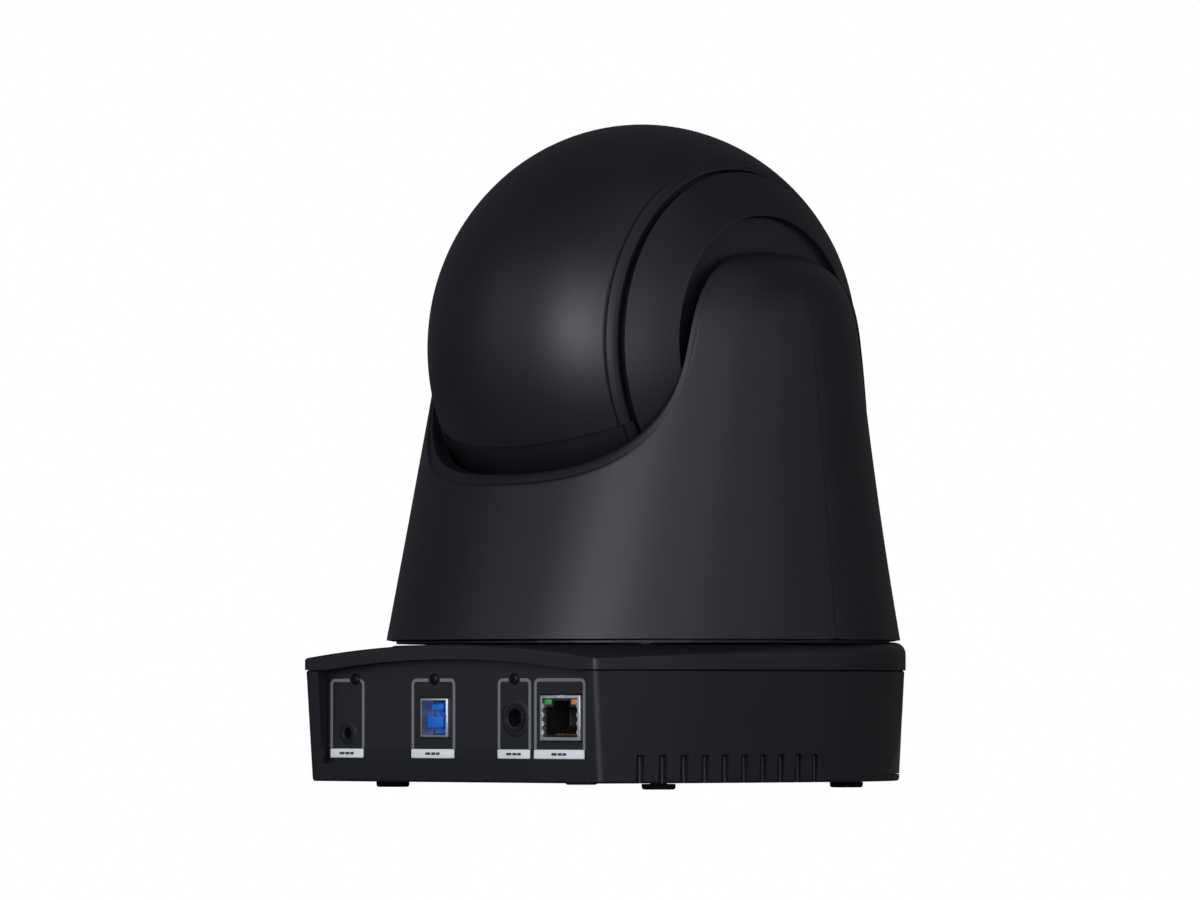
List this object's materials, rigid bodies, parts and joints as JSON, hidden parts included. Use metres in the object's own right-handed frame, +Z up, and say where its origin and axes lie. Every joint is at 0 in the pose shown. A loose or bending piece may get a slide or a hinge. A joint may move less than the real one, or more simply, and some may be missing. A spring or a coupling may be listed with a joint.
{
  "type": "ptz camera",
  "caption": "Desktop conference camera: a ball head tilts between the arms of a round turret that pans on a low base with a recessed rear connector panel.",
  "frame": {"origin": "middle of the footprint, on the surface the feet stand on; the pan axis is the vertical line at y = -3 mm", "axes": "+Z up, -Y is the front where the lens looks, +Y is the rear with the connectors, +X is the left-hand side of the camera"},
  "size_m": [0.1542, 0.1602, 0.1948],
  "materials": {
    "shell": "charcoal-black fine-textured moulded plastic",
    "gloss": "polished black plastic, infra-red clear",
    "rubber": "soft black rubber",
    "steel": "plated sheet steel",
    "aluminium": "die-cast aluminium",
    "blackened": "black zinc plating",
    "brass": "turned brass",
    "connector": "black connector plastic",
    "blue": "blue connector plastic",
    "label": "printed light grey label plate",
    "green": "green light pipe",
    "amber": "amber light pipe",
    "board": "green circuit board",
    "belt": "black belt rubber",
    "glass": "coated lens glass"
  },
  "bodies": {
    "base": {"base_body_shell": "shell", "base_top_cover": "shell", "rear_io_panel": "shell", "front_ir_window": "gloss", "rubber_foot_1": "rubber", "rubber_foot_2": "rubber", "rubber_foot_3": "rubber", "rubber_foot_4": "rubber", "base_bottom_plate": "steel", "pan_chassis_plate": "steel", "usb_jack_shell": "steel", "power_pin": "steel", "panel_screw_1": "blackened", "panel_screw_2": "blackened", "panel_screw_3": "blackened", "pan_motor": "aluminium", "pan_bush": "brass", "tripod_nut": "brass", "ir_receiver": "connector", "network_jack": "connector", "power_jack": "connector", "audio_jack": "connector", "usb_jack_tongue": "blue", "port_label_audio": "label", "port_label_usb": "label", "port_label_power": "label", "port_label_network": "label", "network_led_green": "green", "network_led_amber": "amber", "main_board": "board", "pan_belt": "belt"},
    "turret": {"turret_rear_shell": "shell", "turret_front_shell": "shell", "turret_cradle": "shell", "turntable": "shell", "pan_hub": "aluminium", "tilt_bracket_left": "steel", "tilt_bracket_right": "steel", "tilt_bush_left": "brass", "tilt_bush_right": "brass", "tilt_motor": "aluminium", "tilt_belt": "belt"},
    "head": {"head_main_shell": "shell", "head_lower_shell": "shell", "head_cap_left": "shell", "head_cap_right": "shell", "front_bezel": "gloss", "lens_barrel": "gloss", "lens_front_glass": "glass", "camera_chassis": "aluminium", "sensor_board": "board", "tilt_shaft_drive": "steel", "tilt_shaft_idle": "steel"},
    "pan_motor_pulley": {"pan_motor_pulley": "brass"},
    "tilt_motor_pulley": {"tilt_motor_pulley": "brass"},
    "zoom_carriage": {"zoom_carriage": "connector"},
    "focus_carriage": {"focus_carriage": "connector"}
  },
  "joints": [
    {"name": "pan", "type": "hinge", "parent": "base", "child": "turret", "pos_m": [0, -0.003, 0.043], "axis": [0, 0, 1], "range_deg": [-170, 170]},
    {"name": "tilt", "type": "hinge", "parent": "turret", "child": "head", "pos_m": [0, -0.003, 0.1285], "axis": [-1, 0, 0], "range_deg": [-30, 90]},
    {"name": "pan_motor_spin", "type": "hinge", "parent": "base", "child": "pan_motor_pulley", "pos_m": [0, -0.05, 0.0265], "axis": [0, 0, 1], "range_deg": [-684, 684]},
    {"name": "tilt_motor_spin", "type": "hinge", "parent": "turret", "child": "tilt_motor_pulley", "pos_m": [-0.0578, -0.003, 0.064], "axis": [-1, 0, 0], "range_deg": [-107, 318]},
    {"name": "zoom_slide", "type": "slide", "parent": "head", "child": "zoom_carriage", "axis": [0, 1, 0], "range_m": [-0.006, 0.006]},
    {"name": "focus_slide", "type": "slide", "parent": "head", "child": "focus_carriage", "axis": [0, 1, 0], "range_m": [-0.001, 0.004]}
  ],
  "couplings": [
    {"joint": "pan_motor_spin", "follows": "pan", "ratio": 4},
    {"joint": "tilt_motor_spin", "follows": "tilt", "ratio": 3.5}
  ]
}
